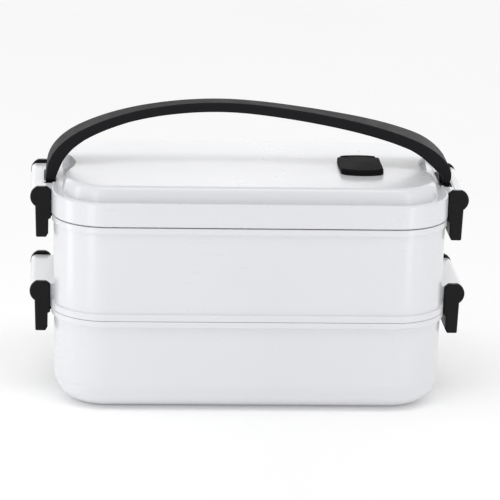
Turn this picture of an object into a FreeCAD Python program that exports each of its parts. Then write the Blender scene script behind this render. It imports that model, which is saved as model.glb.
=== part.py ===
"""Two-tier lunch box: two nesting food trays, a sealed lid with a steam vent, four lever clips
and a strap handle.

Frame: +Z up, X along the box's length, the front long side faces -Y. The origin is the centre of
the underside, on the surface that the box stands on. All lengths are in millimetres.
"""
import FreeCAD
import Part
import math
import os

V = FreeCAD.Vector

# ---- overall sizes ------------------------------------------------------------------------------
BODY_LENGTH = 200.0          # lid, along X
BODY_DEPTH = 112.0           # lid, along Y
CORNER_RADIUS = 28.0         # lid, seen from above
WALL = 2.2                   # moulded wall thickness

# ---- levels above the table ---------------------------------------------------------------------
LOWER_RIM_TOP = 48.1
UPPER_BASE = 48.3
UPPER_RIM_TOP = 96.5
LID_BASE = 97.0
LID_RIM_TOP = 109.1
CROWN_TOP = 116.0
FLOOR = 2.6                  # thickness of the lower tier's bottom

# ---- how far each outline lies inside the lid's outline -----------------------------------------
LIP_INSET = 0.2
UPPER_WALL_INSET = 1.0
UPPER_FOOT_INSET = 1.3
LOWER_WALL_INSET = 1.6
LOWER_FOOT_INSET = 1.9
LIP_HEIGHT = 3.1             # rim lip that the clips hook under
COLLAR_HEIGHT = 3.4          # band round the upper tier's bottom
BOTTOM_RADIUS = 15.0         # outer rounding of the lower tier's bottom
EDGE = 0.5                   # small rounding of moulded edges

# ---- food spaces --------------------------------------------------------------------------------
UPPER_CAVITY_INSET = UPPER_WALL_INSET + WALL
LOWER_CAVITY_INSET = LOWER_WALL_INSET + WALL
SHELF_TOP = 50.7             # ledge inside the upper tier, above its plug
SHELF_RADIUS = 4.0
PLUG_FLOOR = 2.2
PLUG_CAVITY_RADIUS = 4.5
LOWER_CAVITY_RADIUS = BOTTOM_RADIUS - WALL

# ---- plugs that drop into the tray below, and their seals ---------------------------------------
PLUG_GAP = 0.6
PLUG_WALL = 2.0              # behind the seal
PLUG_DROP = 5.0
SEAL_GAP = 0.25
SEAL_DEPTH = 1.2             # how deep the seal sits in the plug
SEAL_HEIGHT = 2.4
SEAL_ABOVE_END = 1.2         # from the plug's underside to the seal

# ---- lid ----------------------------------------------------------------------------------------
GROOVE_INSET = 1.9           # flat rim before the groove
GROOVE_FLOOR = 108.2
CROWN_BASE_INSET = 5.0
CROWN_TOP_INSET = 7.0
CROWN_RADIUS = 3.0
SKIRT_EDGE = 0.8             # rounding along the lid's lower edge
LINER_TOP = 98.9
LINER_FLANGE_BASE = 96.7

# ---- clips and the lugs that carry them, for the +X end -----------------------------------------
PIVOT_X = 105.0
UPPER_PIVOT_Z = 104.9
LOWER_PIVOT_Z = 55.55
PIVOT_ABOVE_LEDGE = 11.5     # clip pivot above the underside of the ledge it hooks
HEAD_RADIUS = 5.85
HEAD_TOP = 5.4               # flat top of the head
LUG_TOP = 3.5                # above the pivot
LUG_OUTER = 5.6              # beyond the pivot
LUG_BOTTOM = 5.7             # below the pivot
LUG_CORNER = 2.6
LUG_UNDER_CORNER = 5.5
CLIP_ROOM_RADIUS = 6.05      # hollow inside the clip that clears the lug
CLIP_EDGE = 0.8
CLIP_TIP = 0.7
EAR_BOTTOM = -10.9
CLIP_HALF_WIDTH = 28.6
EAR_THICKNESS = 2.1
LUG_HALF_WIDTH = 26.2
EAR_INNER_X = -4.7
CLIP_INNER_X = -3.4
CLIP_OUTER_X = 3.3
CLIP_TIP_OUTER_X = 2.8
CLIP_DROP = 20.9
LEDGE_REACH = 1.2            # catch ledge beyond the lid's outline
CATCH_HALF_WIDTH = 15.0
CATCH_SLOPE = 0.5            # rise of the sloping catch faces per unit outward
CATCH_GAP = 0.3
TOOTH_TIP_X = -5.3
PIN_RADIUS = 1.5
PIN_CLEAR = 0.05
STUB_INNER_Y = 22.9
STUB_OUTER_Y = 27.6
STUB_BORE_Y = 27.9           # the ears' bores are blind

# ---- strap handle -------------------------------------------------------------------------------
HANDLE_PIVOT_Z = 104.9
CHANNEL_INNER_X = 98.0
CHANNEL_OUTER_X = 104.1
CHANNEL_HALF_WIDTH = 14.0
CHANNEL_FLOOR = 100.2
SEAM_X = 104.4               # fine line between lug and lid
SEAM_WIDTH = 0.5
SEAM_DEPTH = 0.4
SEAM_HALF_WIDTH = 20.5
FOOT_RADIUS = 4.4
FOOT_TOP = 110.0
FOOT_HALF_WIDTH = 11.6
LEG_END = 97.0
HANDLE_PIN_INNER_X = 94.5
HANDLE_PIN_OUTER_X = 108.0
NOTCH_DEEP_X = 88.0
NOTCH_HALF_WIDTH = 21.5

# Outer face of the strap seen from the front, (x, z) from the left foot to the right one. The
# strap is a springy moulding that stands a little higher on its left and is broader on its right.
STRAP_OUTER = [
    (-103.2, 110.0), (-102.8, 113.6), (-102.0, 117.8), (-99.4, 123.1), (-92.6, 130.1), (-82.2, 136.1),
    (-62.1, 143.2), (-38.0, 147.6), (-12.0, 148.9), (20.0, 146.1), (48.0, 141.6), (68.0, 137.1),
    (82.0, 132.7), (92.7, 127.7), (99.7, 121.9), (103.0, 117.0), (103.7, 113.2), (103.0, 110.0),
]
# (distance along the outer face from the left foot, thickness) and (x, half width)
STRAP_THICKNESS = [
    (0.0, 4.8), (4.0, 5.8), (8.5, 6.5), (18.0, 6.2), (33.0, 5.3), (57.0, 4.8), (107.0, 4.9),
    (157.0, 5.3), (206.0, 5.6), (219.0, 6.9), (226.0, 6.9), (229.5, 6.5), (233.3, 4.9), (236.8, 3.4),
]
STRAP_HALF_WIDTH = [
    (-103.5, 10.8), (-98.0, 10.2), (-90.0, 9.2), (-78.0, 7.9), (-62.0, 6.6), (-46.0, 5.7),
    (-28.0, 5.4), (0.0, 5.3), (28.0, 6.0), (46.0, 7.1), (62.0, 8.6), (78.0, 10.5), (90.0, 12.3),
    (98.0, 12.6), (103.5, 11.4),
]
STRAP_EDGE = 0.7
STRAP_SECTIONS = 96

# ---- steam vent ---------------------------------------------------------------------------------
VENT_X = 57.0
VENT_WIDTH = 21.8
VENT_Y = -7.1                # middle of the button
VENT_FRONT_Y = VENT_Y - 16.3
VENT_REAR_Y = VENT_Y + 16.3
VENT_END_BULGE = 2.6         # how far the front and rear edges bow out
VENT_CORNER = 4.6
VENT_BASE = 116.15
VENT_TOP = 119.0
VENT_EDGE = 1.0
VENT_HINGE_Y = VENT_REAR_Y - 3.8
VENT_HINGE_Z = 117.6
KNUCKLE_RADIUS = 1.4
KNUCKLE_CLEAR = 0.3
KNUCKLE_HALF = 4.5           # half length of the flap's knuckle
VENT_PIN_RADIUS = 0.6
VENT_PIN_HALF = 7.6
VENT_BORE = 3.2              # steam passage under the seal
VENT_SEAT = 4.6              # mouth that the seal plugs
VENT_TUBE = 6.4
SEAL_PLUG_TOP = 4.0
SEAL_PLUG_END = 3.2
SEAL_PLUG_DROP = 3.6
PEG_RADIUS = 1.2
PEG_DROP = 1.6
PEG_SPACING = 12.0

FAR = 200.0                  # longer than anything that a cutter has to pass through
NEAR = 0.001                 # two heights closer than this are the same


# ---- basic shapes -------------------------------------------------------------------------------
def outline(inset, z):
    """Rounded-rectangle wire, inset from the lid's outline, at height z."""
    x = BODY_LENGTH / 2 - inset
    y = BODY_DEPTH / 2 - inset
    r = CORNER_RADIUS - inset
    k = r * (1 - math.sqrt(0.5))
    edges = [
        Part.LineSegment(V(-x + r, -y, z), V(x - r, -y, z)).toShape(),
        Part.Arc(V(x - r, -y, z), V(x - k, -y + k, z), V(x, -y + r, z)).toShape(),
        Part.LineSegment(V(x, -y + r, z), V(x, y - r, z)).toShape(),
        Part.Arc(V(x, y - r, z), V(x - k, y - k, z), V(x - r, y, z)).toShape(),
        Part.LineSegment(V(x - r, y, z), V(-x + r, y, z)).toShape(),
        Part.Arc(V(-x + r, y, z), V(-x + k, y - k, z), V(-x, y - r, z)).toShape(),
        Part.LineSegment(V(-x, y - r, z), V(-x, -y + r, z)).toShape(),
        Part.Arc(V(-x, -y + r, z), V(-x + k, -y + k, z), V(-x + r, -y, z)).toShape(),
    ]
    return Part.Wire(edges)


def slab(inset, z0, z1):
    """Upright rounded-rectangle prism."""
    return Part.Face(outline(inset, z0)).extrude(V(0, 0, z1 - z0))


def tapered(inset0, z0, inset1, z1):
    """Rounded-rectangle prism with drafted sides."""
    return Part.makeLoft([outline(inset0, z0), outline(inset1, z1)], True, True)


def ring(outer_inset, inner_inset, z0, z1):
    return slab(outer_inset, z0, z1).cut(slab(inner_inset, z0, z1))


def box(x0, x1, y0, y1, z0, z1):
    return Part.makeBox(x1 - x0, y1 - y0, z1 - z0, V(x0, y0, z0))


def rod_x(radius, x0, x1, y, z):
    return Part.makeCylinder(radius, x1 - x0, V(x0, y, z), V(1, 0, 0))


def rod_y(radius, y0, y1, x, z):
    return Part.makeCylinder(radius, y1 - y0, V(x, y0, z), V(0, 1, 0))


def side_profile(points, half_width):
    """Solid whose side view is the closed XZ polygon, as wide as 2 x half_width along Y."""
    corners = [V(x, -half_width, z) for x, z in points]
    return Part.Face(Part.makePolygon(corners + corners[:1])).extrude(V(0, 2 * half_width, 0))


def edges_at(shape, z):
    """The edges that lie wholly at height z."""
    flat = []
    for edge in shape.Edges:
        bounds = edge.BoundBox
        if abs(bounds.ZMin - z) < NEAR and abs(bounds.ZMax - z) < NEAR:
            flat.append(edge)
    return flat


def long_edges(shape):
    """The edges that run along Y."""
    return [e for e in shape.Edges if e.BoundBox.YMax - e.BoundBox.YMin > 1.0]


def rounded_at(shape, z, radius):
    return shape.makeFillet(radius, edges_at(shape, z))


def mirrored(shape):
    return shape.mirror(V(0, 0, 0), V(1, 0, 0))


def both_ends(shape):
    return [shape, mirrored(shape)]


def value_at(table, distance):
    """Straight-line reading of a (distance, value) table."""
    if distance <= table[0][0]:
        return table[0][1]
    for (d0, v0), (d1, v1) in zip(table, table[1:]):
        if distance <= d1:
            return v0 + (v1 - v0) * (distance - d0) / (d1 - d0)
    return table[-1][1]


# ---- trays --------------------------------------------------------------------------------------
def catch_ledge(ledge_bottom, rim_top):
    """Block on the +X end of a rim, with the sloping underside that a clip's tooth hooks."""
    wall_x = BODY_LENGTH / 2 - UPPER_WALL_INSET - EDGE
    edge_x = BODY_LENGTH / 2 + LEDGE_REACH
    drop = (edge_x - wall_x) * CATCH_SLOPE
    points = [(wall_x, rim_top), (edge_x, rim_top), (edge_x, ledge_bottom), (wall_x, ledge_bottom - drop)]
    return side_profile(points, CATCH_HALF_WIDTH)


def rim_lip(rim_top, pivot_z):
    lip = slab(LIP_INSET, rim_top - LIP_HEIGHT, rim_top)
    lip = rounded_at(lip, rim_top - LIP_HEIGHT, EDGE)
    lip = rounded_at(lip, rim_top, EDGE / 2)
    ledges = both_ends(catch_ledge(pivot_z - PIVOT_ABOVE_LEDGE, rim_top))
    return lip.fuse(ledges)


def lower_tier():
    body = tapered(LOWER_FOOT_INSET, 0.0, LOWER_WALL_INSET, LOWER_RIM_TOP - EDGE)
    body = rounded_at(body, 0.0, BOTTOM_RADIUS)
    body = body.fuse(rim_lip(LOWER_RIM_TOP, LOWER_PIVOT_Z))
    cavity = slab(LOWER_CAVITY_INSET, FLOOR, LOWER_RIM_TOP + 1.0)
    cavity = rounded_at(cavity, FLOOR, LOWER_CAVITY_RADIUS)
    foot_recess = Part.Face(outline(BOTTOM_RADIUS + LOWER_FOOT_INSET + 7.0, 0.0)).extrude(V(0, 0, 0.8))
    return body.cut([cavity, foot_recess]).removeSplitter()


def seal_band(mouth_inset, end_z):
    """(outer inset, inner inset, low z, high z) of the seal round a plug."""
    low = end_z + SEAL_ABOVE_END
    return mouth_inset + SEAL_GAP, mouth_inset + PLUG_GAP + SEAL_DEPTH, low, low + SEAL_HEIGHT


def plug(mouth_inset, end_z, top_z):
    """Block that drops into the mouth of the tray below, with a groove for its seal."""
    outer = mouth_inset + PLUG_GAP
    body = rounded_at(slab(outer, end_z, top_z), end_z, EDGE)
    _, groove_inset, low, high = seal_band(mouth_inset, end_z)
    return body.cut(ring(outer - 1.0, groove_inset, low, high))


def plug_hollow(mouth_inset, end_z, top_z):
    """Space inside a plug, down to the plug's own floor."""
    floor_top = end_z + PLUG_FLOOR
    hollow = slab(mouth_inset + PLUG_GAP + SEAL_DEPTH + PLUG_WALL, floor_top, top_z)
    return rounded_at(hollow, floor_top, PLUG_CAVITY_RADIUS)


def plug_seal(mouth_inset, end_z):
    outer, inner, low, high = seal_band(mouth_inset, end_z)
    seal = ring(outer, inner, low, high)
    crest = [e for e in seal.Edges if abs(e.BoundBox.ZMax - e.BoundBox.ZMin) < NEAR and reaches(e, outer)]
    return seal.makeFillet(EDGE, crest)


def reaches(edge, inset):
    """Whether an edge touches the outline with this inset."""
    on_end = abs(edge.BoundBox.XMax - (BODY_LENGTH / 2 - inset)) < NEAR
    on_other_end = abs(edge.BoundBox.XMin + (BODY_LENGTH / 2 - inset)) < NEAR
    on_side = abs(edge.BoundBox.YMax - (BODY_DEPTH / 2 - inset)) < NEAR
    on_other_side = abs(edge.BoundBox.YMin + (BODY_DEPTH / 2 - inset)) < NEAR
    return on_end or on_other_end or on_side or on_other_side


def lug(pivot_z, root_x):
    """Flat-topped bar with rounded outer corners, standing out of the +X end, that a clip turns round."""
    bar = box(root_x, PIVOT_X + LUG_OUTER, -LUG_HALF_WIDTH, LUG_HALF_WIDTH,
              pivot_z - LUG_BOTTOM, pivot_z + LUG_TOP)
    upper = [e for e in long_edges(bar) if e.BoundBox.XMin > PIVOT_X and e.BoundBox.ZMin > pivot_z]
    bar = bar.makeFillet(LUG_CORNER, upper)
    underside = pivot_z - LUG_BOTTOM + NEAR
    lower = [e for e in long_edges(bar) if e.BoundBox.XMin > PIVOT_X and e.BoundBox.ZMax < underside]
    return bar.makeFillet(LUG_UNDER_CORNER, lower)


def stub_holes(pivot_z):
    """Blind holes for a clip's two hinge stubs."""
    near = rod_y(PIN_RADIUS, -FAR, -STUB_INNER_Y, PIVOT_X, pivot_z)
    far = rod_y(PIN_RADIUS, STUB_INNER_Y, FAR, PIVOT_X, pivot_z)
    return [near, far]


def upper_tier():
    wall_base = UPPER_BASE + COLLAR_HEIGHT - EDGE
    body = tapered(UPPER_FOOT_INSET, wall_base, UPPER_WALL_INSET, UPPER_RIM_TOP - EDGE)
    collar = slab(LIP_INSET, UPPER_BASE, UPPER_BASE + COLLAR_HEIGHT)
    collar = rounded_at(collar, UPPER_BASE, EDGE / 2)
    collar = rounded_at(collar, UPPER_BASE + COLLAR_HEIGHT, EDGE)
    body = body.fuse([collar, rim_lip(UPPER_RIM_TOP, UPPER_PIVOT_Z)])
    end_z = UPPER_BASE - PLUG_DROP
    cavity = slab(UPPER_CAVITY_INSET, SHELF_TOP, UPPER_RIM_TOP + 1.0)
    cavity = rounded_at(cavity, SHELF_TOP, SHELF_RADIUS)
    hollow = plug_hollow(LOWER_CAVITY_INSET, end_z, SHELF_TOP + 1.0)
    lugs = both_ends(lug(LOWER_PIVOT_Z, BODY_LENGTH / 2 - UPPER_FOOT_INSET - 1.0))
    body = body.fuse(lugs + [plug(LOWER_CAVITY_INSET, end_z, SHELF_TOP)]).cut([cavity, hollow])
    holes = stub_holes(LOWER_PIVOT_Z)
    holes += [mirrored(hole) for hole in holes]
    return body.cut(holes).removeSplitter()


# ---- lid ----------------------------------------------------------------------------------------
def end_block():
    """Solid core inside the lid's +X end, which backs the lug, the handle's channel and its pin."""
    return box(HANDLE_PIN_INNER_X - 1.5, BODY_LENGTH / 2 - 1.0, -LUG_HALF_WIDTH - 4.0, LUG_HALF_WIDTH + 4.0,
               LINER_TOP + 0.1, GROOVE_FLOOR - 0.5)


def handle_channel():
    """Slot in the +X end that the handle's foot stands and tilts in, and the line where lug and lid meet."""
    channel = box(CHANNEL_INNER_X, CHANNEL_OUTER_X, -CHANNEL_HALF_WIDTH, CHANNEL_HALF_WIDTH,
                  CHANNEL_FLOOR, FAR)
    pin_hole = rod_x(PIN_RADIUS, HANDLE_PIN_INNER_X, HANDLE_PIN_OUTER_X, 0.0, HANDLE_PIVOT_Z)
    top = UPPER_PIVOT_Z + LUG_TOP
    seam = box(SEAM_X, SEAM_X + SEAM_WIDTH, -SEAM_HALF_WIDTH, SEAM_HALF_WIDTH, top - SEAM_DEPTH, FAR)
    return [channel, pin_hole, seam]


def ear_relief():
    """Hollows behind a clip's ears, where their tops swing as the clip opens."""
    radius = HEAD_RADIUS + 0.5
    near = rod_y(radius, -CLIP_HALF_WIDTH - 0.4, -LUG_HALF_WIDTH, PIVOT_X, UPPER_PIVOT_Z)
    far = rod_y(radius, LUG_HALF_WIDTH, CLIP_HALF_WIDTH + 0.4, PIVOT_X, UPPER_PIVOT_Z)
    return [near, far]


def crown():
    """Raised plate on the lid, scooped at both ends so that the handle can tilt."""
    plate = tapered(CROWN_BASE_INSET, GROOVE_FLOOR - 0.5, CROWN_TOP_INSET, CROWN_TOP)
    plate = rounded_at(plate, CROWN_TOP, CROWN_RADIUS)
    end_x = BODY_LENGTH / 2 - CROWN_BASE_INSET
    depth = end_x - NOTCH_DEEP_X
    radius = (NOTCH_HALF_WIDTH ** 2 + depth ** 2) / (2 * depth)
    scoop = Part.makeCylinder(radius, FAR, V(NOTCH_DEEP_X + radius, 0, GROOVE_FLOOR), V(0, 0, 1))
    return plate.cut(both_ends(scoop))


def vent_seat():
    """Cutters for the steam passage: a mouth in the crown and a narrower bore below it."""
    mouth = Part.makeCylinder(VENT_SEAT, FAR, V(VENT_X, VENT_Y, CROWN_TOP - SEAL_PLUG_DROP - 0.4), V(0, 0, 1))
    bore = Part.makeCylinder(VENT_BORE, FAR, V(VENT_X, VENT_Y, LID_BASE - 10.0), V(0, 0, 1))
    pegs = [peg(side * PEG_SPACING / 2) for side in (-1, 1)]
    return [mouth, bore] + pegs


def lid_cover():
    skirt = slab(0.0, LID_BASE, LID_RIM_TOP)
    skirt = rounded_at(skirt, LID_RIM_TOP, 0.9)
    skirt = rounded_at(skirt, LID_BASE, SKIRT_EDGE)
    groove = ring(GROOVE_INSET, CROWN_BASE_INSET + 1.0, GROOVE_FLOOR, LID_RIM_TOP + 1.0)
    hollow = slab(WALL, LID_BASE - 1.0, GROOVE_FLOOR - WALL)
    crown_hollow = slab(CROWN_TOP_INSET + WALL, GROOVE_FLOOR - WALL - 1.0, CROWN_TOP - WALL)
    deep_notch = box(NOTCH_DEEP_X - WALL, FAR, -FAR, FAR, GROOVE_FLOOR - WALL, FAR)
    crown_hollow = crown_hollow.cut(both_ends(deep_notch))
    lugs = both_ends(lug(UPPER_PIVOT_Z, BODY_LENGTH / 2 - 1.0))
    tube_base = LINER_FLANGE_BASE - PLUG_DROP + PLUG_FLOOR + 0.1
    tube = Part.makeCylinder(VENT_TUBE, CROWN_TOP - 1.0 - tube_base, V(VENT_X, VENT_Y, tube_base), V(0, 0, 1))
    body = skirt.cut(groove).fuse(crown()).cut([hollow, crown_hollow])
    body = body.fuse(lugs + both_ends(end_block()) + [tube])
    cutters = handle_channel() + ear_relief() + stub_holes(UPPER_PIVOT_Z)
    cutters += [mirrored(cutter) for cutter in cutters]
    return body.cut(cutters + vent_seat()).removeSplitter()


def lid_liner():
    """Inner panel, a shallow dish that closes the lid's hollow, plugs the tray below and carries the seal."""
    end_z = LINER_FLANGE_BASE - PLUG_DROP
    flange = slab(WALL + 0.15, LINER_FLANGE_BASE, LINER_TOP)
    body = flange.fuse(plug(UPPER_CAVITY_INSET, end_z, LINER_TOP))
    hollow = plug_hollow(UPPER_CAVITY_INSET, end_z, LINER_TOP + 1.0)
    bore = Part.makeCylinder(VENT_BORE, FAR, V(VENT_X, VENT_Y, end_z), V(0, 0, 1))
    return body.cut([hollow, bore]).removeSplitter()


# ---- steam vent ---------------------------------------------------------------------------------
def vent_outline():
    """Oblong with bowed ends and rounded corners, seen from above."""
    x0 = VENT_X - VENT_WIDTH / 2
    x1 = VENT_X + VENT_WIDTH / 2
    front = VENT_FRONT_Y + VENT_END_BULGE
    rear = VENT_REAR_Y - VENT_END_BULGE
    z = VENT_BASE
    edges = [
        Part.Arc(V(x0, front, z), V(VENT_X, VENT_FRONT_Y, z), V(x1, front, z)).toShape(),
        Part.LineSegment(V(x1, front, z), V(x1, rear, z)).toShape(),
        Part.Arc(V(x1, rear, z), V(VENT_X, VENT_REAR_Y, z), V(x0, rear, z)).toShape(),
        Part.LineSegment(V(x0, rear, z), V(x0, front, z)).toShape(),
    ]
    return Part.Face(Part.Wire(edges))


def vent_button():
    """The whole button, flap and hinge block together, before they are cut apart."""
    body = vent_outline().extrude(V(0, 0, VENT_TOP - VENT_BASE))
    upright = [e for e in body.Edges if e.BoundBox.ZMax - e.BoundBox.ZMin > 1.0]
    body = body.makeFillet(VENT_CORNER, upright)
    return rounded_at(body, VENT_TOP, VENT_EDGE)


def knuckles(radius, spans):
    rods = [rod_x(radius, VENT_X + x0, VENT_X + x1, VENT_HINGE_Y, VENT_HINGE_Z) for x0, x1 in spans]
    return rods[0].fuse(rods[1:]) if len(rods) > 1 else rods[0]


FLAP_KNUCKLE = [(-KNUCKLE_HALF, KNUCKLE_HALF)]
BLOCK_KNUCKLES = [(-8.5, -KNUCKLE_HALF - KNUCKLE_CLEAR), (KNUCKLE_HALF + KNUCKLE_CLEAR, 8.5)]


def peg(offset):
    """Peg under the hinge block, which anchors it in the lid."""
    foot = V(VENT_X + offset, VENT_HINGE_Y + 0.4, CROWN_TOP - PEG_DROP)
    return Part.makeCylinder(PEG_RADIUS, PEG_DROP + 0.2, foot)


def vent_flap():
    whole = vent_button()
    plate = whole.common(box(0, FAR, -FAR, VENT_HINGE_Y - KNUCKLE_RADIUS - KNUCKLE_CLEAR, 0, FAR))
    arm = box(VENT_X - KNUCKLE_HALF, VENT_X + KNUCKLE_HALF, VENT_HINGE_Y - 3.0, VENT_HINGE_Y,
              VENT_HINGE_Z - 0.6, VENT_HINGE_Z + KNUCKLE_RADIUS)
    body = plate.fuse([arm, knuckles(KNUCKLE_RADIUS, FLAP_KNUCKLE)])
    socket = Part.makeCylinder(SEAL_PLUG_TOP - 1.0, 1.2, V(VENT_X, VENT_Y, VENT_BASE), V(0, 0, 1))
    return body.cut([vent_pin_rod(PIN_CLEAR), socket]).removeSplitter()


def vent_anchor():
    whole = vent_button()
    block = whole.common(box(0, FAR, VENT_HINGE_Y + KNUCKLE_RADIUS + KNUCKLE_CLEAR, FAR, 0, FAR))
    arms = [box(VENT_X + x0, VENT_X + x1, VENT_HINGE_Y, VENT_HINGE_Y + 3.0, VENT_BASE, VENT_HINGE_Z + 0.6)
            for x0, x1 in BLOCK_KNUCKLES]
    pegs = [peg(side * PEG_SPACING / 2) for side in (-1, 1)]
    body = block.fuse(arms + [knuckles(KNUCKLE_RADIUS, BLOCK_KNUCKLES)] + pegs)
    return body.cut(vent_pin_rod(0.0)).removeSplitter()


def vent_pin_rod(clearance):
    return rod_x(VENT_PIN_RADIUS + clearance, VENT_X - VENT_PIN_HALF, VENT_X + VENT_PIN_HALF,
                 VENT_HINGE_Y, VENT_HINGE_Z)


def vent_seal():
    """Soft plug under the flap, tapered so that it swings out of its seat."""
    low = VENT_BASE - SEAL_PLUG_DROP
    cone = Part.makeCone(SEAL_PLUG_END, SEAL_PLUG_TOP, SEAL_PLUG_DROP, V(VENT_X, VENT_Y, low), V(0, 0, 1))
    button = Part.makeCylinder(SEAL_PLUG_TOP - 1.0, 1.2, V(VENT_X, VENT_Y, VENT_BASE), V(0, 0, 1))
    return cone.fuse(button)


# ---- clips --------------------------------------------------------------------------------------
def clip_tooth():
    """Hook on the clip's inner face, about a pivot at the origin."""
    ledge_x = BODY_LENGTH / 2 + LEDGE_REACH - PIVOT_X
    ledge_z = -PIVOT_ABOVE_LEDGE

    def flank(x):
        return ledge_z - CATCH_GAP + (x - ledge_x) * CATCH_SLOPE

    root_x = CLIP_INNER_X + 0.5
    points = [
        (root_x, flank(CLIP_INNER_X)), (CLIP_INNER_X, flank(CLIP_INNER_X)), (TOOTH_TIP_X, flank(TOOTH_TIP_X)),
        (TOOTH_TIP_X, flank(TOOTH_TIP_X) - 0.7), (CLIP_INNER_X, flank(TOOTH_TIP_X) - 2.8),
        (root_x, flank(TOOTH_TIP_X) - 2.8),
    ]
    return side_profile(points, CATCH_HALF_WIDTH - 0.5)


def clip_blank():
    """Clip before it is hollowed: a lever under a round head, flat on top and on the wall side."""
    y = -CLIP_HALF_WIDTH
    shoulder = math.sqrt(HEAD_RADIUS ** 2 - EAR_INNER_X ** 2)
    waist = -math.sqrt(HEAD_RADIUS ** 2 - CLIP_OUTER_X ** 2)
    head = Part.Arc(V(EAR_INNER_X, y, shoulder), V(HEAD_RADIUS, y, 0), V(CLIP_OUTER_X, y, waist)).toShape()
    points = [
        (CLIP_OUTER_X, waist), (CLIP_TIP_OUTER_X, -CLIP_DROP), (CLIP_INNER_X + 1.1, -CLIP_DROP),
        (CLIP_INNER_X, -CLIP_DROP + 2.0), (CLIP_INNER_X, EAR_BOTTOM - 0.9), (EAR_INNER_X, EAR_BOTTOM),
        (EAR_INNER_X, shoulder),
    ]
    sides = [Part.LineSegment(V(x0, y, z0), V(x1, y, z1)).toShape()
             for (x0, z0), (x1, z1) in zip(points, points[1:])]
    blank = Part.Face(Part.Wire([head] + sides)).extrude(V(0, 2 * CLIP_HALF_WIDTH, 0))
    tip = [e for e in long_edges(blank) if e.BoundBox.ZMax < NEAR - CLIP_DROP]
    blank = blank.makeFillet(CLIP_TIP, tip)
    ends = [e for e in blank.Edges if e.BoundBox.YMax - e.BoundBox.YMin < NEAR]
    return blank.makeFillet(CLIP_EDGE, ends).cut(box(-FAR, FAR, -FAR, FAR, HEAD_TOP, FAR))


def clip():
    """Lever clip about a pivot at the origin, for the +X end."""
    blank = clip_blank()
    inner = CLIP_HALF_WIDTH - EAR_THICKNESS
    room = rod_y(CLIP_ROOM_RADIUS, -inner, inner, 0.0, 0.0)
    above = box(-FAR, FAR, -inner, inner, 0.0, FAR)
    wall_room = box(-FAR, CLIP_INNER_X, -inner, inner, -FAR, FAR)
    mouth = box(-FAR, 0.0, -inner, inner, -CLIP_ROOM_RADIUS, FAR)
    body = blank.cut([room, above, wall_room, mouth])
    body = body.fuse(clip_tooth())
    bore = rod_y(PIN_RADIUS + PIN_CLEAR, -STUB_BORE_Y, STUB_BORE_Y, 0.0, 0.0)
    return body.cut(bore).removeSplitter()


def clip_pins(pivot_z):
    """The two hinge stubs of the +X clip at this height."""
    near = rod_y(PIN_RADIUS, -STUB_OUTER_Y, -STUB_INNER_Y, PIVOT_X, pivot_z)
    far = rod_y(PIN_RADIUS, STUB_INNER_Y, STUB_OUTER_Y, PIVOT_X, pivot_z)
    return Part.makeCompound([near, far])


# ---- strap handle -------------------------------------------------------------------------------
def strap_section(point, along, half_width, thickness):
    """Rounded-rectangle wire square to the strap, standing inward from a point on its outer face."""
    inward = V(along.z, 0, -along.x)
    across = V(0, 1, 0)
    r = STRAP_EDGE
    k = r * (1 - math.sqrt(0.5))

    def at(depth, y):
        return point + inward * depth + across * y

    d = thickness
    w = half_width
    edges = [
        Part.LineSegment(at(0, -w + r), at(0, w - r)).toShape(),
        Part.Arc(at(0, w - r), at(k, w - k), at(r, w)).toShape(),
        Part.LineSegment(at(r, w), at(d - r, w)).toShape(),
        Part.Arc(at(d - r, w), at(d - k, w - k), at(d, w - r)).toShape(),
        Part.LineSegment(at(d, w - r), at(d, -w + r)).toShape(),
        Part.Arc(at(d, -w + r), at(d - k, -w + k), at(d - r, -w)).toShape(),
        Part.LineSegment(at(d - r, -w), at(r, -w)).toShape(),
        Part.Arc(at(r, -w), at(k, -w + k), at(0, -w + r)).toShape(),
    ]
    return Part.Wire(edges)


def strap_body():
    """Strap skinned over sections that follow its outer curve, on two straight legs."""
    outer = Part.BSplineCurve()
    outer.interpolate(Points=[V(x, 0, z) for x, z in STRAP_OUTER])
    length = outer.length()
    sections = []
    for i in range(STRAP_SECTIONS + 1):
        travelled = length * i / STRAP_SECTIONS
        u = outer.parameterAtDistance(travelled, outer.FirstParameter)
        point = outer.value(u)
        sections.append(strap_section(point, outer.tangent(u)[0], value_at(STRAP_HALF_WIDTH, point.x),
                                      value_at(STRAP_THICKNESS, travelled)))
    arch = Part.makeLoft(sections, True, True)
    legs = [Part.Face(wire).extrude(V(0, 0, LEG_END - FOOT_TOP)) for wire in (sections[0], sections[-1])]
    return arch.fuse(legs)


def foot_trim():
    """Cutter that leaves each foot as a tapering tongue, rounded about the handle's pin."""
    reach = BODY_DEPTH / 2
    keep = rod_x(FOOT_RADIUS, -FAR, FAR, 0.0, HANDLE_PIVOT_Z)
    corners = [(-FOOT_HALF_WIDTH, FOOT_TOP), (FOOT_HALF_WIDTH, FOOT_TOP),
               (FOOT_RADIUS * 0.94, HANDLE_PIVOT_Z - FOOT_RADIUS * 0.34),
               (-FOOT_RADIUS * 0.94, HANDLE_PIVOT_Z - FOOT_RADIUS * 0.34)]
    outline_points = [V(-FAR, y, z) for y, z in corners]
    tongue = Part.Face(Part.makePolygon(outline_points + outline_points[:1])).extrude(V(2 * FAR, 0, 0))
    below = box(-FAR, FAR, -reach, reach, LEG_END - 1.0, FOOT_TOP)
    return below.cut([tongue, keep])


def handle_strap():
    bore = rod_x(PIN_RADIUS + PIN_CLEAR, -FAR, FAR, 0.0, HANDLE_PIVOT_Z)
    return strap_body().cut([foot_trim(), bore])


def handle_pin():
    return rod_x(PIN_RADIUS, HANDLE_PIN_INNER_X, HANDLE_PIN_OUTER_X, 0.0, HANDLE_PIVOT_Z)


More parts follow.
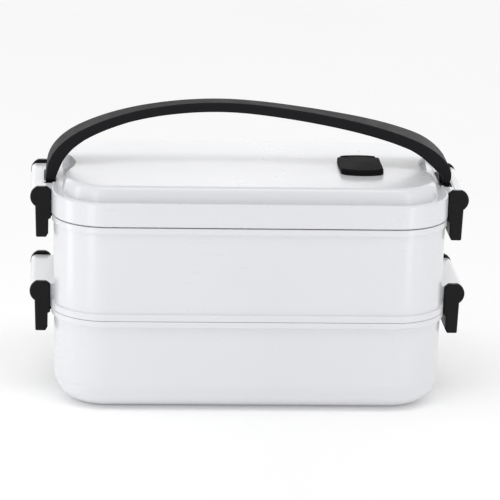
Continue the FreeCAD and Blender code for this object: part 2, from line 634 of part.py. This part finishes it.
# ---- build --------------------------------------------------------------------------------------
parts = {
    "lower_tier": lower_tier(),
    "upper_tier": upper_tier(),
    "tier_seal": plug_seal(LOWER_CAVITY_INSET, UPPER_BASE - PLUG_DROP),
    "lid_cover": lid_cover(),
    "lid_liner": lid_liner(),
    "lid_seal": plug_seal(UPPER_CAVITY_INSET, LINER_FLANGE_BASE - PLUG_DROP),
    "handle_strap": handle_strap(),
    "right_handle_pin": handle_pin(),
    "left_handle_pin": mirrored(handle_pin()),
    "vent_flap": vent_flap(),
    "vent_anchor": vent_anchor(),
    "vent_pin": vent_pin_rod(0.0),
    "vent_seal": vent_seal(),
}
for level, pivot_z in (("upper", UPPER_PIVOT_Z), ("lower", LOWER_PIVOT_Z)):
    lever = clip()
    lever.translate(V(PIVOT_X, 0, pivot_z))
    pins = clip_pins(pivot_z)
    parts[level + "_right_clip"] = lever
    parts[level + "_left_clip"] = mirrored(lever)
    parts[level + "_right_clip_pins"] = pins
    parts[level + "_left_clip_pins"] = mirrored(pins)

os.makedirs("parts", exist_ok=True)
for name, shape in parts.items():
    shape.exportStep(os.path.join("parts", name + ".step"))
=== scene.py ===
"""Looks for the two-tier lunch box: studio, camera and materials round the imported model."""
import bpy
import math
from mathutils import Matrix, Vector


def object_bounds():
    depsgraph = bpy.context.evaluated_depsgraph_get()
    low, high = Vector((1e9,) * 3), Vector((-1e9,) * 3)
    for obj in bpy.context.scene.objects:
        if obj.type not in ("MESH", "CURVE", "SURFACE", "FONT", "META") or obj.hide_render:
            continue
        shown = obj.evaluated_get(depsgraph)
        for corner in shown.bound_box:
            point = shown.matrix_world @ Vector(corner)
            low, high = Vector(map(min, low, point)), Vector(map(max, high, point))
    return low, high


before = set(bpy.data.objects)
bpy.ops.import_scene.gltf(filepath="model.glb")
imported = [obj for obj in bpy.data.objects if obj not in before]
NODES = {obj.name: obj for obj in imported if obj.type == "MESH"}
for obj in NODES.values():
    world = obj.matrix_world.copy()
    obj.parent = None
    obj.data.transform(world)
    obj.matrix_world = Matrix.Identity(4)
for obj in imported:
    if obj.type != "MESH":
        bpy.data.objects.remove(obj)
CAD_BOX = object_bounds()

# ---- camera -------------------------------------------------------------------------------------
ELEVATION = math.radians(16.0)
TURN = math.radians(-3.9)
ROLL = math.radians(1.56)
DISTANCE = 1.55
LENS = 216.2
SENSOR = 36.0
AIM = Vector((0.0023, 0.0, 0.0700))

# ---- light --------------------------------------------------------------------------------------
SKY = 0.65
BASE_GLOW = 0.08             # the table top is a softly lit white panel
PANELS = [   # name, place, aim, width, height, power: one above and in front, one behind
    ("key", (0.0, -0.68, 2.2), (0.0, 0.0, 0.05), 1.8, 0.8, 13.0),
    ("backdrop", (0.0, 3.6, 1.2), (0.0, 0.0, 0.3), 7.0, 2.6, 45.0),
]
STRIPS = [   # name, middle on the floor, width, power: upright, for the streaks on the corners
    ("left_near_strip", (-0.195, -0.225), 0.060, 0.060),
    ("left_side_strip", (-0.300, -0.060), 0.060, 0.080),
    ("right_near_strip", (0.200, -0.220), 0.040, 0.050),
    ("right_side_strip", (0.255, -0.165), 0.040, 0.012),
]
STRIP_HEIGHT = 0.20
BODY_CORNER = (0.08, -0.05)  # about where the upright front corners stand
FLOOR_REACH = 30.0
FLOOR_DROP = 0.0001          # keeps the floor clear of the underside

# ---- colours (linear) ---------------------------------------------------------------------------
WHITE_PLASTIC = (0.78, 0.785, 0.81, 1.0)
LINER_PLASTIC = (0.74, 0.75, 0.77, 1.0)
CLIP_PLASTIC = (0.0035, 0.0035, 0.004, 1.0)
STRAP_PLASTIC = (0.0135, 0.0135, 0.0152, 1.0)
VENT_PLASTIC = (0.005, 0.005, 0.0056, 1.0)
SILICONE = (0.62, 0.65, 0.68, 1.0)
STEEL = (0.56, 0.56, 0.58, 1.0)
FLOOR = (0.97, 0.97, 0.97, 1.0)
WORN_WHITE = (0.84, 0.84, 0.87, 1.0)
WORN_LINER = (0.82, 0.82, 0.84, 1.0)
WORN_CLIP = (0.02, 0.02, 0.022, 1.0)
WORN_GREY = (0.03, 0.03, 0.032, 1.0)

# ---- surface detail -----------------------------------------------------------------------------
COAT_ROUGHNESS = 0.16
WORN_EDGE = 0.0006           # how far the wear reaches from an edge
WELD_REACH = 0.000002
FACE_AREA_WEIGHT = 60


def add_camera():
    level = math.cos(ELEVATION)
    back = Vector((math.sin(TURN) * level, -math.cos(TURN) * level, math.sin(ELEVATION)))
    level_right = Vector((math.cos(TURN), math.sin(TURN), 0.0))
    level_up = back.cross(level_right)
    right = level_right * math.cos(ROLL) + level_up * math.sin(ROLL)
    up = level_up * math.cos(ROLL) - level_right * math.sin(ROLL)
    place = AIM + back * DISTANCE
    data = bpy.data.cameras.new("camera")
    data.lens = LENS
    data.sensor_width = SENSOR
    camera = bpy.data.objects.new("camera", data)
    camera.matrix_world = Matrix((
        (right.x, up.x, back.x, place.x),
        (right.y, up.y, back.y, place.y),
        (right.z, up.z, back.z, place.z),
        (0.0, 0.0, 0.0, 1.0),
    ))
    bpy.context.scene.collection.objects.link(camera)
    bpy.context.scene.camera = camera


def add_area(name, place, aim, width, height, watts):
    data = bpy.data.lights.new(name, "AREA")
    data.shape = "RECTANGLE"
    data.size = width
    data.size_y = height
    data.energy = watts
    lamp = bpy.data.objects.new(name, data)
    lamp.location = place
    lamp.rotation_euler = (Vector(aim) - Vector(place)).to_track_quat("-Z", "Y").to_euler()
    bpy.context.scene.collection.objects.link(lamp)


def add_studio():
    world = bpy.data.worlds.new("studio")
    world.use_nodes = True
    sky = world.node_tree.nodes["Background"]
    sky.inputs["Color"].default_value = (1.0, 1.0, 1.0, 1.0)
    sky.inputs["Strength"].default_value = SKY
    bpy.context.scene.world = world
    bpy.context.scene.view_settings.view_transform = "Standard"
    for panel in PANELS:
        add_area(*panel)
    middle = STRIP_HEIGHT / 2
    for name, (x, y), width, watts in STRIPS:
        corner_x = math.copysign(BODY_CORNER[0], x)
        add_area(name, (x, y, middle), (corner_x, BODY_CORNER[1], middle), width, STRIP_HEIGHT, watts)


def add_floor():
    mesh = bpy.data.meshes.new("floor")
    r = FLOOR_REACH
    mesh.from_pydata([(-r, -r, 0), (r, -r, 0), (r, r, 0), (-r, r, 0)], [], [(0, 1, 2, 3)])
    floor = bpy.data.objects.new("floor", mesh)
    floor.location.z = CAD_BOX[0][2] - FLOOR_DROP
    bpy.context.scene.collection.objects.link(floor)
    mesh.materials.append(floor_material())


# ---- materials ----------------------------------------------------------------------------------
class Nodes:
    """Shorthand for building a node material."""

    def __init__(self, name):
        self.material = bpy.data.materials.new(name)
        self.material.use_nodes = True
        self.tree = self.material.node_tree
        self.shader = self.tree.nodes["Principled BSDF"]
        self.place = self.add("ShaderNodeTexCoord").outputs["Object"]

    def add(self, kind, **settings):
        node = self.tree.nodes.new(kind)
        for key, value in settings.items():
            setattr(node, key, value)
        return node

    def link(self, source, target):
        self.tree.links.new(source, target)

    def noise(self, scale, detail=3.0, stretch=(1.0, 1.0, 1.0)):
        mapping = self.add("ShaderNodeMapping")
        mapping.inputs["Scale"].default_value = stretch
        self.link(self.place, mapping.inputs["Vector"])
        node = self.add("ShaderNodeTexNoise")
        node.inputs["Scale"].default_value = scale
        node.inputs["Detail"].default_value = detail
        self.link(mapping.outputs["Vector"], node.inputs["Vector"])
        return node.outputs["Fac"]

    def spread(self, value, low, high, low_in=0.3, high_in=0.7):
        node = self.add("ShaderNodeMapRange")
        node.inputs["From Min"].default_value = low_in
        node.inputs["From Max"].default_value = high_in
        node.inputs["To Min"].default_value = low
        node.inputs["To Max"].default_value = high
        self.link(value, node.inputs["Value"])
        return node.outputs["Result"]

    def mix(self, share, first, second):
        node = self.add("ShaderNodeMix", data_type="RGBA")
        for slot, value in (("A", first), ("B", second)):
            socket = [s for s in node.inputs if s.name == slot and s.type == "RGBA"][0]
            if isinstance(value, tuple):
                socket.default_value = value
            else:
                self.link(value, socket)
        self.link(share, node.inputs["Factor"])
        return [s for s in node.outputs if s.type == "RGBA"][0]

    def bump(self, heights):
        """Chain of bump nodes from (height, distance in metres, strength)."""
        previous = None
        for height, distance, strength in heights:
            node = self.add("ShaderNodeBump")
            node.inputs["Distance"].default_value = distance
            node.inputs["Strength"].default_value = strength
            self.link(height, node.inputs["Height"])
            if previous is not None:
                self.link(previous, node.inputs["Normal"])
            previous = node.outputs["Normal"]
        self.link(previous, self.shader.inputs["Normal"])

    def edges(self, radius):
        """1 on worn edges, 0 on flats."""
        bevel = self.add("ShaderNodeBevel", samples=4)
        bevel.inputs["Radius"].default_value = radius
        geometry = self.add("ShaderNodeNewGeometry")
        dot = self.add("ShaderNodeVectorMath", operation="DOT_PRODUCT")
        self.link(bevel.outputs["Normal"], dot.inputs[0])
        self.link(geometry.outputs["Normal"], dot.inputs[1])
        return self.spread(dot.outputs["Value"], 1.0, 0.0, 0.80, 0.99)


def darker(colour, share):
    return tuple(c * share for c in colour[:3]) + (1.0,)


def moulded(name, colour, roughness, grain, grain_depth, worn, specular=0.5, variation=0.97, coat=0.0):
    """Moulded plastic: slow colour and gloss drift, a fine grain and slightly worn edges."""
    n = Nodes(name)
    drift = n.noise(14.0, 2.0)
    marks = n.noise(90.0, 6.0, (1.0, 1.0, 3.0))
    base = n.mix(n.spread(drift, 0.0, 1.0), colour, darker(colour, variation))
    edge = n.add("ShaderNodeMath", operation="MULTIPLY")
    n.link(n.edges(WORN_EDGE), edge.inputs[0])
    n.link(n.spread(n.noise(220.0, 2.0), 0.2, 1.0), edge.inputs[1])
    n.link(n.mix(edge.outputs[0], base, worn), n.shader.inputs["Base Color"])
    rough = n.add("ShaderNodeMath", operation="ADD")
    n.link(n.spread(marks, roughness * 0.93, roughness * 1.08), rough.inputs[0])
    n.link(n.spread(drift, -0.02, 0.02), rough.inputs[1])
    n.link(rough.outputs[0], n.shader.inputs["Roughness"])
    n.shader.inputs["Specular IOR Level"].default_value = specular
    n.shader.inputs["Coat Weight"].default_value = coat
    n.shader.inputs["Coat Roughness"].default_value = COAT_ROUGHNESS
    n.bump([(n.noise(60.0, 1.0), 0.0002, 0.06), (n.noise(grain, 2.0), grain_depth, 0.25)])
    return n.material


def floor_material():
    n = Nodes("floor_paint")
    cloud = n.spread(n.noise(3.0, 2.0), 0.0, 1.0)
    n.link(n.mix(cloud, FLOOR, darker(FLOOR, 0.985)), n.shader.inputs["Base Color"])
    n.link(n.spread(n.noise(40.0, 2.0), 0.75, 0.9), n.shader.inputs["Roughness"])
    n.shader.inputs["Specular IOR Level"].default_value = 0.1
    n.shader.inputs["Emission Color"].default_value = (1.0, 1.0, 1.0, 1.0)
    n.shader.inputs["Emission Strength"].default_value = BASE_GLOW
    return n.material


def silicone(name, colour):
    n = Nodes(name)
    cloud = n.spread(n.noise(40.0, 2.0), 0.0, 1.0)
    n.link(n.mix(cloud, colour, darker(colour, 0.93)), n.shader.inputs["Base Color"])
    n.link(n.spread(n.noise(300.0, 3.0), 0.42, 0.6), n.shader.inputs["Roughness"])
    n.shader.inputs["Subsurface Weight"].default_value = 0.3
    n.shader.inputs["Subsurface Scale"].default_value = 0.002
    n.bump([(n.noise(500.0, 2.0), 0.00004, 0.4)])
    return n.material


def drawn_steel(name, colour):
    n = Nodes(name)
    lines = n.noise(900.0, 2.0, (1.0, 0.05, 1.0))
    n.link(n.mix(n.spread(lines, 0.0, 1.0), colour, darker(colour, 0.8)), n.shader.inputs["Base Color"])
    n.link(n.spread(lines, 0.22, 0.38), n.shader.inputs["Roughness"])
    n.shader.inputs["Metallic"].default_value = 1.0
    n.bump([(lines, 0.00002, 0.3)])
    return n.material


def dress(node_names, material):
    for name in node_names:
        mesh = NODES[name].data
        mesh.materials.clear()
        mesh.materials.append(material)


def smooth(piece):
    """Smooth shading across the many narrow facets of a skinned piece."""
    mesh = piece.data
    if "custom_normal" in mesh.attributes:
        mesh.attributes.remove(mesh.attributes["custom_normal"])
    mesh.shade_smooth()
    weld = piece.modifiers.new("weld", "WELD")
    weld.merge_threshold = WELD_REACH
    normals = piece.modifiers.new("normals", "WEIGHTED_NORMAL")
    normals.mode = "FACE_AREA"
    normals.weight = FACE_AREA_WEIGHT


white = moulded("white_plastic", WHITE_PLASTIC, roughness=0.30, grain=900.0, grain_depth=0.00001,
                worn=WORN_WHITE, specular=0.4, variation=0.975, coat=0.5)
liner_white = moulded("liner_plastic", LINER_PLASTIC, roughness=0.34, grain=1200.0, grain_depth=0.00003,
                      worn=WORN_LINER)
clip_black = moulded("clip_plastic", CLIP_PLASTIC, roughness=0.34, grain=1800.0, grain_depth=0.00004,
                     worn=WORN_CLIP, specular=0.18, variation=0.8)
strap_grey = moulded("strap_plastic", STRAP_PLASTIC, roughness=0.54, grain=2200.0, grain_depth=0.00005,
                     worn=WORN_GREY, specular=0.09, variation=0.9)
vent_grey = moulded("vent_plastic", VENT_PLASTIC, roughness=0.70, grain=2000.0, grain_depth=0.00005,
                    worn=WORN_GREY, specular=0.10, variation=0.85)
seal = silicone("seal_silicone", SILICONE)
steel = drawn_steel("pin_steel", STEEL)

CLIPS = [level + side + "_clip" for level in ("upper_", "lower_") for side in ("left", "right")]
dress(["lower_tier", "upper_tier", "lid_cover"], white)
dress(["lid_liner"], liner_white)
dress(CLIPS, clip_black)
dress(["handle_strap"], strap_grey)
smooth(NODES["handle_strap"])
dress(["vent_flap", "vent_anchor"], vent_grey)
dress(["tier_seal", "lid_seal", "vent_seal"], seal)
dress([clip + "_pins" for clip in CLIPS] + ["left_handle_pin", "right_handle_pin", "vent_pin"], steel)

add_camera()
add_studio()
add_floor()
